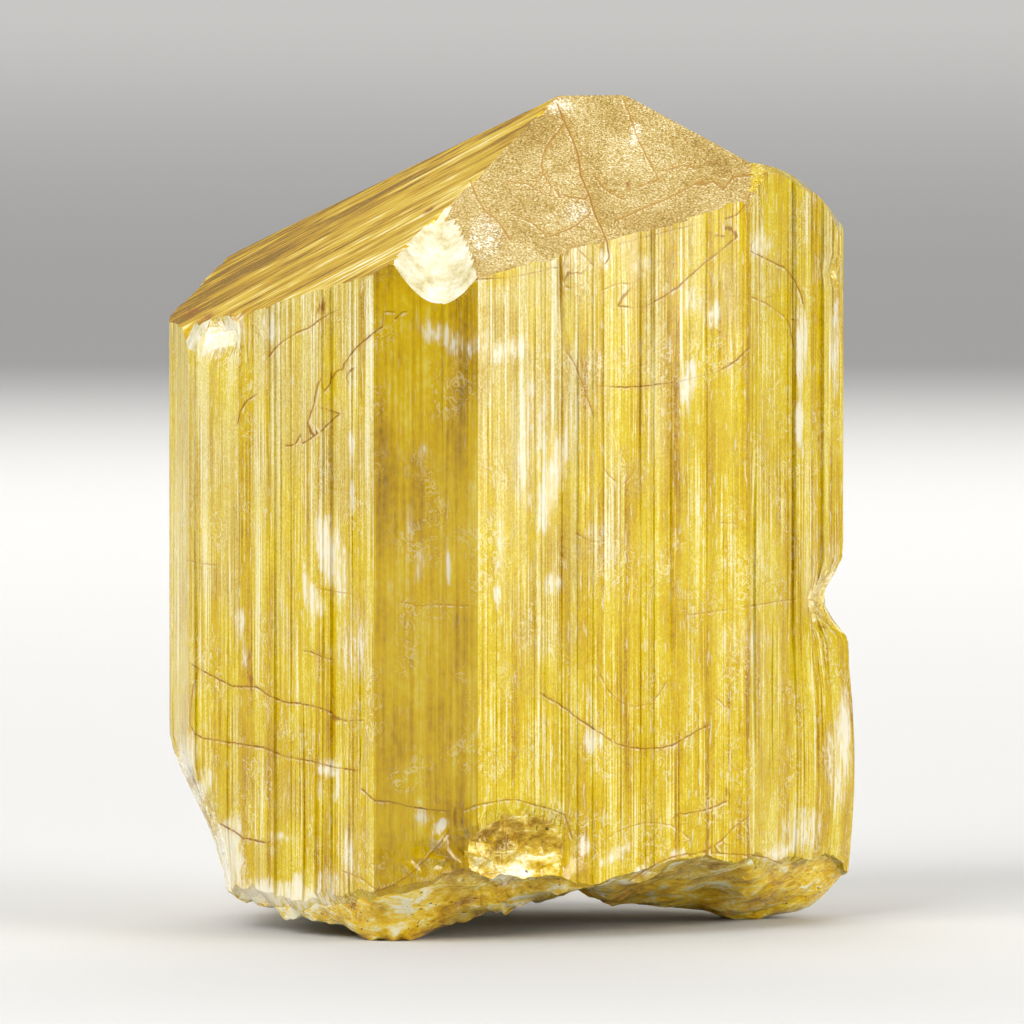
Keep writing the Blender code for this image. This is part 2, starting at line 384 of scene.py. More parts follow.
def walk_round():
    """Columns of the mesh: place in plan, face, level, lens, tone and riser line."""
    rng = random.Random(11)
    columns = []
    for i, (name, _, _) in enumerate(PRISM_FACES):
        start, end = CORNERS[i - 1], CORNERS[i]
        length = (end - start).length
        along = (end - start) / length
        gap = TREADS[name][2]
        for a, b, level, lens, tone in face_treads(i, name, start, along, length, rng):
            line = rng.gauss(0.0, 0.8)
            inner = max(1, math.ceil((b - a - 2 * RISER) / gap))
            places = [a] + [a + RISER + (b - a - 2 * RISER) * k / inner for k in range(inner + 1)]
            for s in places:
                fade = min(1.0, s / EDGE_FADE, (length - s) / EDGE_FADE)
                middle, half, depth = lens
                lens_here = (middle, half, depth * fade)
                riser = line if s == a else 0.0
                columns.append((start + along * s, i, level * fade, lens_here, tone, riser))
    return columns


COLUMNS = walk_round()
print("columns round the crystal:", len(COLUMNS))

# %% [markdown]
# ## The body as one laid-out grid
#
# The whole skin can be one rectangular grid, wrapped round: its columns run up the
# crystal and its rows are the underside, the sides and the pyramid. A grid wrapped
# this way keeps the growth lines exactly along the mesh. The seam, the ridge and the
# middle of the base then close when doubles are merged.

# %% Rows of the body
# shares of the way out from the middle of the base, closer together near the rim
BASE_SHARES = (0.0, 0.12, 0.24, 0.36, 0.47, 0.57, 0.66, 0.74, 0.80, 0.855, 0.90, 0.94, 0.97, 1.0)
# shares of the way up a side, closest together near the break
SIDE_SHARES = [0.0]
for count, reach in ((20, 0.20), (14, 0.55), (17, 1.0)):
    first = SIDE_SHARES[-1]
    SIDE_SHARES += [first + (reach - first) * (k + 1) / count for k in range(count)]
# rows of the top in mm from its rim, and then by shares up to the ridge
TOP_STEPS = [0.16 * k for k in range(1, 25)]
TOP_REACH = 0.45
TOP_INNER = 12
APEX_LEFT = Vector((1.95, -0.47))
APEX_RIGHT = Vector((5.55, 0.60))
RIDGE_PARTS = 12
BASE_CENTRE = Vector((0.6, 0.3))


def crease_bearing(a, b):
    """Direction in plan of the edge between two pyramid faces, down from the ridge."""
    va = bearing_vector(PYRAMID_FACES[a][1]) * PYRAMID_FACES[a][2]
    vb = bearing_vector(PYRAMID_FACES[b][1]) * PYRAMID_FACES[b][2]
    across = va - vb
    along = Vector((-across.y, across.x)).normalized()
    out = bearing_vector(PYRAMID_FACES[a][1]) + bearing_vector(PYRAMID_FACES[b][1])
    return along if along.dot(out) > 0 else -along


def ridge_target(point):
    """The place on the ridge that a column runs up to."""
    along = (APEX_RIGHT - APEX_LEFT).normalized()
    share = (point - APEX_LEFT).dot(along) / (APEX_RIGHT - APEX_LEFT).length
    left = [crease_bearing(0, 1), crease_bearing(1, 3)]
    right = [crease_bearing(0, 2), crease_bearing(2, 3)]
    for front in (True, False):
        dl, dr = (left[0], right[0]) if front else (left[1], right[1])
        side = -1.0 if front else 1.0
        a = (point - APEX_LEFT).cross(dl) * side
        b = (point - APEX_RIGHT).cross(dr) * side
        if a * b < 0 and side * ((point - APEX_LEFT).cross(along)) * -1 > 0:
            share = abs(a) / (abs(a) + abs(b))
            share = round(share * RIDGE_PARTS) / RIDGE_PARTS
            return APEX_LEFT.lerp(APEX_RIGHT, share)
    return APEX_LEFT if share < 0.5 else APEX_RIGHT


TOP_ROWS = 1 + len(TOP_STEPS) + TOP_INNER
print("rows:", len(BASE_SHARES), "below,", len(SIDE_SHARES), "on the sides,", TOP_ROWS, "above")

# %% Places of one column
# where the hollow on the front is splintered, and how deep the splinters are in mm
SPLINTERS = ((-0.6, -13.9, 3.9), (7.0, 4.0, 3.3))
SPLINTER_SIZE, SPLINTER_DEPTH, CREST_DEPTH = 1.3, 0.25, 1.1
# the growth relief starts this high above the ground and is full this much higher
RELIEF_START, RELIEF_RISE = 0.5, 2.0
# a lump this high or deep has no growth relief left
LUMP_BARE = 0.45


def relief(column, z):
    """How far the surface stands out of the flat face in this column."""
    _, _, level, (middle, half, lens), _, _ = column
    return level + lens * max(0.0, 1.0 - ((z - middle) / half) ** 2)


def shifted(place, column, z):
    """A place of the plan moved by the lumps and by the splinters of the front hollow."""
    point, face = column[:2]
    lump = side_shift(point.x, point.y, z)
    moved = place + point.normalized() * lump
    splinters = bump((point.x, point.y, z), *SPLINTERS)
    if splinters > 0.0:
        crest = ridged((point.x * 1.2 + z * 0.7, z * 1.1), SPLINTER_SIZE, 21.0) - 0.3
        moved = moved - LINES[face][0] * splinters * (SPLINTER_DEPTH + CREST_DEPTH * crest)
    return moved, lump


def on_side(column, z):
    """The place of a column's surface at a height."""
    moved, lump = shifted(column[0], column, z)
    fade = min(1.0, max(0.0, (z - RELIEF_START) / RELIEF_RISE)) * max(0.0, 1.0 - abs(lump) / LUMP_BARE)
    return moved + LINES[column[1]][0] * relief(column, z) * fade


def inner_place(column, z):
    """The place on the smaller plan straight in from a column, clamped to its face."""
    point, face = column[:2]
    a, b = INNER_CORNERS[face - 1], INNER_CORNERS[face]
    along = (b - a).normalized()
    s = min(max((point - a).dot(along), 0.0), (b - a).length)
    return shifted(a + along * s, column, z)[0]


def column_places(column):
    """Every vertex place of one column, from the middle of the base to the ridge."""
    point = column[0]
    z = base_height(point.x, point.y)
    for _ in range(3):
        rim = on_side(column, z)
        z = base_height(rim.x, rim.y)
    low, inner = z, inner_place(column, z)
    places = []
    for share in BASE_SHARES:
        flat = BASE_CENTRE.lerp(inner, share)
        places.append((flat.x, flat.y, base_height(flat.x, flat.y)))
    top = point
    for _ in range(3):
        high = top_height(top.x, top.y)[0]
        top = on_side(column, high)
    high = top_height(top.x, top.y)[0]
    for share in SIDE_SHARES:
        z = low + (high - low) * share
        flat = on_side(column, z)
        places.append((flat.x, flat.y, z))
    inner = inner_place(column, high)
    target = ridge_target(inner)
    reach = (target - inner).length
    steps = [0.0] + [min(TOP_REACH, s / reach) for s in TOP_STEPS]
    first = steps[-1]
    steps += [first + (1.0 - first) * (k + 1) / TOP_INNER for k in range(TOP_INNER)]
    for share in steps:
        flat = inner.lerp(target, share)
        places.append((flat.x, flat.y, top_height(flat.x, flat.y)[0]))
    return places


def build_body():
    """The wrapped grid, with the row and column of each vertex kept beside it."""
    rows = len(BASE_SHARES) + len(SIDE_SHARES) + TOP_ROWS
    count = len(COLUMNS)
    bm = bmesh.new()
    bmesh.ops.create_grid(bm, x_segments=count, y_segments=rows - 1, size=1.0)
    row_layer = bm.verts.layers.int.new("row")
    column_layer = bm.verts.layers.int.new("column")
    places = [column_places(column) for column in COLUMNS]
    for v in bm.verts:
        column = round((v.co.x + 1.0) / 2.0 * count) % count
        row = round((v.co.y + 1.0) / 2.0 * (rows - 1))
        v[row_layer] = row
        v[column_layer] = column
        v.co = places[column][row]
    return bm, row_layer, column_layer


body, row_layer, column_layer = build_body()
print("grid:", len(body.verts), "vertices,", len(body.faces), "faces")

# %% [markdown]
# ## Marks in the stone
#
# Healed cracks, white veils, clear golden patches and iron stains lie in the crystal
# where it grew or was strained. They are colour, so they aren't raised. Each is listed
# at its place in the front view, in pixels of that view, and every vertex learns how
# deep it lies in a mark. For a crack it learns its distance with a sign, so the shader
# can draw a line much finer than the mesh exactly where the distance passes zero.

# %% Veils, golden patches and stains
PIXEL_MM = 0.04837
TILT = math.radians(3.0)
# the pixel of the front view that the middle of the crystal's foot shows at
FOOT_ACROSS, FOOT_DOWN = 511.5, 925.0


def in_view(point):
    """Where a place in mm shows in the front view, in its pixels."""
    up = point.z * math.cos(TILT) + point.y * math.sin(TILT)
    return point.x / PIXEL_MM + FOOT_ACROSS, FOOT_DOWN * math.cos(TILT) - up / PIXEL_MM


# across, down, half width, half height, lean in degrees, strength
VEILS = (
    (222, 336, 34, 15, 25, 1.3), (326, 546, 10, 40, 8, 1.4), (316, 600, 13, 13, 0, 1.1),
    (338, 560, 13, 52, 8, 0.7), (307, 575, 6, 11, 0, 0.9), (356, 645, 20, 46, 0, 0.35),
    (353, 447, 4, 15, 0, 0.8), (354, 497, 3, 16, 0, 0.6), (422, 458, 6, 11, 0, 0.9),
    (413, 522, 2, 34, 0, 0.7), (448, 562, 3, 24, 0, 0.8), (421, 560, 8, 24, 0, 0.5),
    (396, 585, 20, 5, 0, 0.4), (551, 485, 11, 62, -14, 0.9), (553, 583, 11, 8, 0, 0.9),
    (532, 440, 34, 90, 0, 0.35), (440, 336, 34, 11, -32, 0.6), (486, 350, 40, 10, -6, 0.6),
    (520, 352, 30, 8, 0, 0.5), (686, 386, 9, 26, -12, 1.0), (713, 318, 14, 9, 0, 0.9),
    (690, 300, 12, 20, 0, 0.5), (800, 345, 8, 46, 0, 0.8), (799, 421, 6, 24, 0, 0.8),
    (836, 345, 7, 60, 0, 0.6), (757, 245, 14, 16, 0, 0.8), (742, 640, 40, 30, 0, 0.25),
    (600, 545, 30, 40, 0, 0.2), (845, 722, 7, 42, 0, 1.1), (838, 760, 16, 60, 0, 0.5),
    (593, 739, 12, 9, 0, 0.9), (614, 851, 24, 7, 34, 0.9), (641, 865, 13, 4, 30, 0.9),
    (676, 849, 10, 5, 0, 0.8), (776, 852, 18, 9, 20, 0.8), (800, 830, 30, 26, 30, 0.5),
    (582, 842, 8, 10, 0, 0.8), (331, 767, 16, 7, 0, 1.0), (338, 786, 4, 16, -10, 0.6),
    (320, 786, 3, 12, 0, 0.5), (232, 872, 14, 26, -24, 1.0), (262, 894, 26, 9, -14, 1.0),
    (300, 882, 8, 16, 0, 0.9), (236, 838, 10, 34, 0, 0.5), (285, 892, 60, 16, -8, 0.9),
    (330, 880, 20, 20, 0, 0.5), (222, 850, 16, 40, -20, 0.8), (184, 762, 14, 40, -20, 0.9),
    (200, 790, 9, 30, -34, 0.9), (282, 834, 30, 4, 0, 0.5), (440, 822, 7, 12, -40, 1.2),
    (436, 838, 9, 6, 0, 0.8), (424, 812, 12, 8, 0, 0.5), (350, 850, 8, 30, 0, 0.5),
    (505, 872, 18, 14, 0, 0.5), (560, 105, 16, 7, 0, 0.8), (634, 136, 5, 17, -14, 0.9),
    (576, 215, 20, 16, 0, 0.3), (485, 240, 20, 30, 0, 0.4), (603, 262, 9, 14, 0, 0.7),
    (640, 262, 30, 12, 0, 0.3), (834, 555, 8, 20, 0, 0.5), (500, 540, 6, 40, 0, 0.5),
    (497, 590, 5, 20, 0, 0.6), (270, 330, 14, 18, 0, 0.4), (240, 620, 8, 16, 0, 0.5),
    (246, 655, 5, 14, 0, 0.6), (812, 560, 16, 60, 0, 0.2),
)
GOLD_PATCHES = (
    (627, 664, 32, 36, 0, 1.0), (778, 338, 24, 52, 0, 0.9), (686, 420, 8, 18, 20, 0.9),
    (816, 392, 8, 66, 0, 0.8), (446, 640, 44, 60, 0, 0.6), (500, 279, 24, 10, 20, 1.1),
    (765, 190, 18, 15, 0, 0.9), (745, 290, 5, 90, 0, 0.7), (568, 320, 6, 60, 0, 0.8),
    (674, 300, 4, 70, 0, 0.9), (601, 480, 2, 240, 0, 0.6), (640, 700, 100, 60, 0, 0.4),
    (780, 700, 60, 80, 0, 0.35), (560, 750, 60, 60, 0, 0.35), (700, 540, 60, 70, 0, 0.4),
    (300, 740, 60, 60, 0, 0.35), (214, 755, 30, 50, 0, 0.35), (250, 770, 9, 60, 0, 0.9),
    (420, 420, 60, 120, 0, 0.4), (800, 620, 40, 60, 0, 0.3), (790, 560, 34, 90, 0, 0.35),
    (176, 480, 16, 220, 0, 0.9), (246, 480, 7, 200, 0, 0.9), (640, 780, 120, 60, 0, 0.5),
    (800, 800, 60, 40, 0, 0.4), (720, 450, 50, 120, 0, 0.3), (500, 760, 50, 80, 0, 0.5),
    (515, 826, 56, 30, 0, 1.3), (330, 720, 40, 60, 0, 0.3),
)
STAINS = (
    (244, 431, 5, 7, 0, 1.0), (246, 400, 3, 20, 0, 0.6), (250, 655, 5, 14, 0, 1.0),
    (252, 676, 5, 14, 0, 1.0), (253, 705, 5, 10, 0, 0.8), (455, 812, 4, 14, 0, 1.1),
    (725, 790, 3, 12, 0, 0.9), (704, 725, 4, 8, 0, 0.7), (547, 694, 4, 4, 0, 1.1),
    (722, 845, 12, 4, 0, 0.6), (320, 300, 5, 9, 0, 0.8), (676, 372, 5, 4, 0, 0.8),
    (714, 522, 8, 4, 0, 0.6), (815, 320, 6, 22, 0, 0.6), (820, 440, 6, 20, 0, 0.6),
    (430, 212, 8, 5, 40, 1.0), (398, 195, 12, 4, 26, 0.8), (325, 308, 6, 8, 0, 0.9),
    (627, 187, 3, 7, 0, 1.0), (515, 826, 44, 24, 0, 0.45), (205, 318, 24, 5, 30, 0.9),
    (190, 312, 16, 8, 34, 0.9), (764, 174, 12, 6, 0, 0.6),
)


def depth_in(marks, across, down):
    """How deep a place lies in a list of soft marks, one or more in the middle."""
    depth = 0.0
    for cx, cy, half_x, half_y, lean, strength in marks:
        dx, dy = across - cx, down - cy
        if abs(dx) > half_x + half_y or abs(dy) > half_x + half_y:
            continue
        turn = math.radians(lean)
        u = dx * math.cos(turn) - dy * math.sin(turn)
        v = dx * math.sin(turn) + dy * math.cos(turn)
        d = (u / half_x) ** 2 + (v / half_y) ** 2
        if d < 1.0:
            depth += strength * (1.0 - d)
    return depth


print("veils, golden patches, stains:", len(VEILS), len(GOLD_PATCHES), len(STAINS))

# %% Cracks
# how dark from 0 to 1, then the points that it runs through
CRACKS = (
    (0.6, (274, 352), (281, 344), (299, 333), (309, 330), (328, 317), (338, 312)),
    (0.9, (240, 418), (242, 410), (246, 402), (257, 395)),
    (0.8, (292, 445), (300, 444), (307, 442), (323, 431), (337, 418)),
    (0.7, (299, 441), (310, 420), (318, 398), (330, 388), (341, 372), (352, 356), (360, 347)),
    (0.5, (316, 392), (327, 371), (342, 369), (348, 380)),
    (1.0, (360, 347), (380, 331), (394, 322), (403, 317)),
    (0.4, (372, 314), (388, 314), (403, 314)),
    (0.8, (194, 665), (213, 675), (234, 685), (257, 685), (270, 694), (286, 700), (300, 701),
     (317, 704), (332, 709), (343, 715)),
    (0.4, (345, 719), (352, 717), (359, 717)),
    (0.8, (190, 730), (202, 737), (239, 742), (262, 745), (275, 749), (286, 754), (300, 756),
     (317, 759), (336, 764), (354, 766)),
    (0.7, (368, 789), (376, 796), (390, 797), (411, 802), (430, 805), (445, 806)),
    (0.9, (226, 825), (234, 829), (244, 836), (262, 839)),
    (0.5, (193, 687), (191, 700), (190, 714), (190, 728)),
    (0.7, (307, 649), (314, 650), (320, 653), (328, 656), (334, 657)),
    (0.3, (322, 587), (335, 590), (352, 592)),
    (0.3, (190, 560), (204, 563), (216, 564)),
    (0.75, (604, 302), (616, 307), (630, 309), (643, 308), (655, 302), (666, 295), (674, 290),
     (688, 277), (703, 264), (722, 249), (741, 232)),
    (0.8, (601, 387), (622, 388), (649, 386), (663, 384), (677, 382), (697, 377), (716, 372), (733, 362),
     (748, 347)),
    (0.6, (751, 253), (760, 257), (770, 262), (783, 267), (790, 274), (795, 283), (800, 294), (803, 305)),
    (0.5, (751, 298), (768, 305), (786, 318), (790, 330), (792, 343)),
    (0.35, (604, 470), (612, 481), (622, 483), (630, 475), (636, 462)),
    (0.7, (546, 694), (558, 701), (576, 715), (588, 723), (599, 730), (609, 738), (618, 742),
     (632, 745), (646, 746), (660, 745), (673, 742), (684, 735), (693, 730), (707, 723)),
    (0.45, (597, 668), (603, 682), (612, 694), (621, 701), (631, 704), (646, 702), (657, 694), (662, 684)),
    (0.4, (688, 613), (705, 611), (735, 607), (760, 603), (795, 598)),
    (0.5, (719, 522), (728, 522), (737, 522)),
    (0.3, (605, 835), (612, 830), (623, 825), (644, 819), (658, 820), (670, 822), (688, 835)),
    (0.6, (680, 811), (690, 810), (701, 808), (711, 805), (720, 801)),
    (0.3, (718, 699), (726, 706), (738, 706)),
    (0.5, (580, 535), (591, 541), (601, 540)),
    (0.5, (569, 358), (577, 372), (590, 410)),
    (0.85, (559, 110), (566, 127), (576, 151), (579, 164), (578, 172), (583, 185), (589, 200), (593, 215),
     (600, 230), (605, 243), (608, 262)),
    (0.6, (563, 126), (553, 138), (544, 151), (541, 162), (541, 172), (545, 180), (551, 189), (558, 195),
     (569, 199), (584, 201)),
    (0.55, (625, 105), (631, 121), (636, 137), (641, 148), (646, 158), (657, 180)),
    (0.6, (597, 182), (603, 190), (610, 195), (618, 199)),
    (0.4, (640, 187), (648, 184), (655, 182)),
    (0.5, (673, 169), (681, 166), (689, 167)),
    (0.55, (620, 220), (642, 210), (662, 202), (681, 192), (700, 182)),
    (0.6, (556, 236), (567, 232), (576, 227), (588, 216)),
    (0.6, (472, 188), (478, 203), (486, 215), (496, 222), (507, 238)),
    (0.45, (512, 184), (528, 186), (541, 195), (556, 199)),
    (0.4, (519, 219), (530, 224), (542, 235)),
    (0.4, (566, 253), (574, 247), (582, 257), (591, 266)),
    (0.6, (700, 186), (712, 183), (722, 190), (731, 178), (746, 176)),
    (0.7, (478, 282), (500, 281), (521, 278), (546, 272), (570, 264), (604, 250), (640, 240),
     (662, 234), (690, 227), (704, 223), (733, 218), (742, 210), (746, 200)),
    (0.35, (604, 290), (616, 285), (625, 285)),
    (0.45, (560, 274), (562, 286), (568, 291), (578, 288)),
    (0.3, (404, 600), (420, 604), (440, 602), (470, 604)),
    (0.5, (447, 829), (441, 838), (426, 855), (411, 869), (396, 879), (380, 885)),
    (0.5, (468, 804), (478, 800), (490, 798), (507, 795), (520, 796), (533, 800), (550, 805),
     (564, 811), (570, 829)),
    (0.6, (633, 874), (645, 866), (657, 859), (670, 854), (683, 851), (702, 850), (722, 851),
     (751, 853), (765, 856), (777, 861)),
    (0.5, (690, 853), (709, 845), (720, 838), (730, 827), (743, 817)),
    (0.4, (350, 868), (362, 872), (372, 880), (380, 885)),
)
CRACK_STEP = 1.0


def crack_points():
    """Points every pixel along each crack, with its direction and darkness."""
    points = []
    for dark, *path in CRACKS:
        for (ax, ay), (bx, by) in zip(path, path[1:]):
            run = math.hypot(bx - ax, by - ay)
            for k in range(max(1, round(run / CRACK_STEP))):
                t = k * CRACK_STEP / run
                points.append((Vector((ax + (bx - ax) * t, ay + (by - ay) * t, 0.0)),
                               (bx - ax) / run, (by - ay) / run, dark))
    return points


CRACK_POINTS = crack_points()
crack_finder = KDTree(len(CRACK_POINTS))
for i, (place, _, _, _) in enumerate(CRACK_POINTS):
    crack_finder.insert(place, i)
crack_finder.balance()


def crack_at(across, down):
    """Signed distance, plain distance and darkness of the nearest crack, in mm."""
    place, i, away = crack_finder.find((across, down, 0.0))
    _, dx, dy, dark = CRACK_POINTS[i]
    side = dx * (down - place.y) - dy * (across - place.x)
    return side * PIXEL_MM, away * PIXEL_MM, dark


print("cracks:", len(CRACKS), "with", len(CRACK_POINTS), "points")

# %% [markdown]
# ## Which finish each face has
#
# The finishes meet along the crystal's own edges, so each small face takes the
# finish of the crystal face that it lies on. That is read before the seams close,
# while every vertex still knows its row and column. The marks are read then too.

# %% Marks of every vertex
side_start = len(BASE_SHARES)
top_start = side_start + len(SIDE_SHARES) - 1
FRONT_FACES = ("left sliver", "left panel", "amber window", "right panel", "right flank", "right edge")
MARKS = ("tone", "line", "veil", "gold", "stain", "crack", "crack_away", "crack_dark")
# places this deep in mm and further back don't show from the front
HIDDEN_FROM = 8.0
# a distance in mm that no crack reaches
NO_CRACK = 9.0
# on the back, soft patches this wide and tall in mm stand for the single marks
PATCH_WIDE, PATCH_TALL = 5.0, 9.0
# soft variation: size across and along in mm, octaves
CLOUDS = {"cloud": (3.0, 5.0, 4), "medium": (0.9, 22.0, 2), "shows": (1.3, 4.5, 2), "where": (2.0, 2.6, 2)}


def soft_noise(point, across, along, octaves):
    """Noise from 0 to 1 in several sizes, drawn out along the crystal."""
    at = Vector((point.x / across, point.y / across, point.z / along))
    parts = [(noise.noise(at * 2 ** k), 0.6 ** k) for k in range(octaves)]
    return 0.5 + 0.5 * sum(n * w for n, w in parts) / sum(w for _, w in parts)


def mark_vertices():
    """Write the marks and the soft variation to the mesh, for the finishes to read."""
    layers = {name: body.verts.layers.float.new(name) for name in (*MARKS, *CLOUDS)}
    for v in body.verts:
        column = COLUMNS[v[column_layer]]
        if v[row_layer] >= top_start:
            front = v.co.y < HIDDEN_FROM
        else:
            front = PRISM_FACES[column[1]][0] in FRONT_FACES
        on_sides = side_start <= v[row_layer] <= top_start
        across, down = in_view(v.co)
        for name, (size_across, size_along, octaves) in CLOUDS.items():
            v[layers[name]] = soft_noise(v.co, size_across, size_along, octaves)
        v[layers["tone"]] = column[4] if on_sides else 0.0
        v[layers["line"]] = column[5] if on_sides else 0.0
        signed, away, dark = crack_at(across, down) if front else (NO_CRACK, NO_CRACK, 0.0)
        v[layers["crack"]] = signed
        v[layers["crack_away"]] = away
        v[layers["crack_dark"]] = dark
        if front:
            v[layers["veil"]] = depth_in(VEILS, across, down)
            v[layers["gold"]] = depth_in(GOLD_PATCHES, across, down)
            v[layers["stain"]] = depth_in(STAINS, across, down)
        else:
            place = (v.co.x / PATCH_WIDE, v.co.y / PATCH_WIDE, v.co.z / PATCH_TALL)
            patch = noise.noise(Vector(place))
            v[layers["veil"]] = max(0.0, patch * 1.2 - 0.32)
            v[layers["gold"]] = max(0.0, 0.2 - patch)


mark_vertices()

# %% Finish of every face
# the places that the finishes get on the crystal, in the order they are made below
STRIATED, CLEAR, ETCHED, STREAKED, CHIP, BREAK, REAR = range(7)
FINISH_OF = {
    "left sliver": STRIATED, "left panel": STRIATED, "right panel": STRIATED,
    "right flank": STRIATED, "right edge": STRIATED, "shoulder": STRIATED,
    "rear": REAR, "amber window": CLEAR, "frosted face": ETCHED, "golden face": STREAKED,
    "rear face right": ETCHED, "rear face left": ETCHED, "chip": CHIP,
}
# a side hollowed deeper than this in mm is broken, not grown
BROKEN_FROM = -0.22
# vertices nearer than this in mm are one, and faces thinner than this are closed up
MERGE_WITHIN, SLIVER = 0.0008, 0.0004
CREASE = math.radians(24)
for face in body.faces:
    rows_here = [v[row_layer] for v in face.verts]
    columns_here = [v[column_layer] for v in face.verts]
    if min(rows_here) < side_start - 1:
        face.material_index = BREAK
    elif min(rows_here) >= top_start:
        middle = face.calc_center_median()
        face.material_index = FINISH_OF[top_height(middle.x, middle.y)[1]]
    else:
        column = min(columns_here) if max(columns_here) - min(columns_here) < 3 else 0
        face.material_index = FINISH_OF[PRISM_FACES[COLUMNS[column][1]][0]]
        middle = face.calc_center_median()
        if side_shift(middle.x, middle.y, middle.z) < BROKEN_FROM:
            face.material_index = BREAK
    face.smooth = True

bmesh.ops.translate(body, verts=body.verts[:], vec=(-MIDDLE.x, -MIDDLE.y, 0.0))
bmesh.ops.remove_doubles(body, verts=body.verts[:], dist=MERGE_WITHIN)
bmesh.ops.dissolve_degenerate(body, edges=body.edges[:], dist=SLIVER)
bmesh.ops.triangulate(body, faces=body.faces[:])
bmesh.ops.recalc_face_normals(body, faces=body.faces[:])
loose = [e for e in body.edges if not e.is_manifold]
print("body:", len(body.faces), "triangles, open edges:", len(loose))
print("volume in cubic cm:", round(body.calc_volume() / 1000, 2))

# %% Body object
bmesh.ops.scale(body, verts=body.verts[:], vec=(MM, MM, MM))
mesh = bpy.data.meshes.new("marialite_skin")
body.to_mesh(mesh)
body.free()
mesh.set_sharp_from_angle(angle=CREASE)
crystal = bpy.data.objects.new("marialite_skin", mesh)
bpy.context.scene.collection.objects.link(crystal)
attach(crystal, "root")
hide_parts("crystal")

# %% [markdown]
# ## Colours and a way to add nodes
#
# Colours are read off as the screen shows them, so one function turns a hex value to
# the linear numbers that the shader wants. A second one adds a node, sets it and
# links it, which keeps each material short enough to read.

# %% Helpers for the materials


def colour(value):
    """sRGB hex to linear RGBA."""
    parts = [int(value[i:i + 2], 16) / 255 for i in (1, 3, 5)]
    return [p / 12.92 if p <= 0.04045 else ((p + 0.055) / 1.055) ** 2.4 for p in parts] + [1.0]


def add(tree, kind, links=None, **settings):
    """Add a node, set its properties and sockets, and link what feeds it."""
    node = tree.nodes.new(kind)
    for key, value in settings.items():
        setattr(node, key, value)
    for key, value in (links or {}).items():
        socket = node.inputs[key]
        if isinstance(value, bpy.types.NodeSocket):
            tree.links.new(value, socket)
        else:
            socket.default_value = colour(value) if isinstance(value, str) else value
    return node


def new_material(name):
    """An empty material, and the tree that its nodes go in."""
    material = bpy.data.materials.new(name)
    material.use_nodes = True
    material.node_tree.nodes.clear()
    return material, material.node_tree


def ramp(tree, factor, stops):
    """A colour ramp: position and colour of each stop."""
    node = add(tree, "ShaderNodeValToRGB", {0: factor})
    elements = node.color_ramp.elements
    for _ in stops[2:]:
        elements.new(0.5)
    for element, (position, value) in zip(elements, stops):
        element.position = position
        element.color = colour(value)
    return node.outputs[0]


def sums(tree, *terms):
    """Add up sockets, each with its factor, and a plain number where the socket is None."""
    total = None
    for socket, factor in terms:
        if socket is None:
            links, operation = {0: total, 1: factor}, "ADD"
        elif total is None:
            links, operation = {0: socket, 1: factor}, "MULTIPLY"
        else:
            links, operation = {0: socket, 1: factor, 2: total}, "MULTIPLY_ADD"
        total = add(tree, "ShaderNodeMath", links, operation=operation).outputs[0]
    return total


def window(tree, value, low, high, start=0.0, end=1.0):
    """Smoothly from start to end while the value goes from low to high."""
    links = {"Value": value, "From Min": low, "From Max": high, "To Min": start, "To Max": end}
    return add(tree, "ShaderNodeMapRange", links, interpolation_type="SMOOTHSTEP").outputs[0]


def times(tree, a, b):
    """One value times another."""
    return add(tree, "ShaderNodeMath", {0: a, 1: b}, operation="MULTIPLY").outputs[0]


def blend(tree, factor, a, b):
    """From colour a to colour b by a factor."""
    return add(tree, "ShaderNodeMix", {0: factor, 6: a, 7: b}, data_type="RGBA").outputs[2]


def mark(tree, name):
    """A mark that the mesh carries."""
    return add(tree, "ShaderNodeAttribute", attribute_name=name).outputs["Fac"]


def grain(tree, at, across, along, detail=2.0, roughness=0.5, swirl=0.0):
    """Noise drawn out along Z, its size across and along given in mm."""
    scale = (1000.0 / across, 1000.0 / across, 1000.0 / along)
    place = add(tree, "ShaderNodeMapping", {"Vector": at, "Scale": scale}).outputs[0]
    links = {"Vector": place, "Scale": 1.0, "Detail": detail, "Roughness": roughness, "Distortion": swirl}
    return add(tree, "ShaderNodeTexNoise", links).outputs["Fac"]


def line_at(tree, value, place, inner, outer):
    """A line where a value passes a place: one within inner of it, nothing beyond outer."""
    away = add(tree, "ShaderNodeMath", {0: value, 1: place}, operation="SUBTRACT").outputs[0]
    away = add(tree, "ShaderNodeMath", {0: away}, operation="ABSOLUTE").outputs[0]
    return window(tree, away, outer, inner)


print("golden yellow in linear:", [round(c, 3) for c in colour("#D4B43C")])

# %% [markdown]
# ## Drawing the marks
#
# A healed crack in a clear stone is a thin brown line with a bright lip on one side,
# where its wall catches the light. Cut into the mesh it would be a groove, which it
# isn't. Painting it needs an image. Here the shader draws it where the distance that
# the mesh carries passes zero, and the same noise that grains the stone makes it
# wander, thicken and break off. Veils, stains and inclusions are laid over in turn.

# %% Cracks
BROWN_LINE, DARK_LINE, PALE_LIP, GOLD_HALO = "#B07E10", "#8A5A08", "#FFF8DA", "#C8940C"


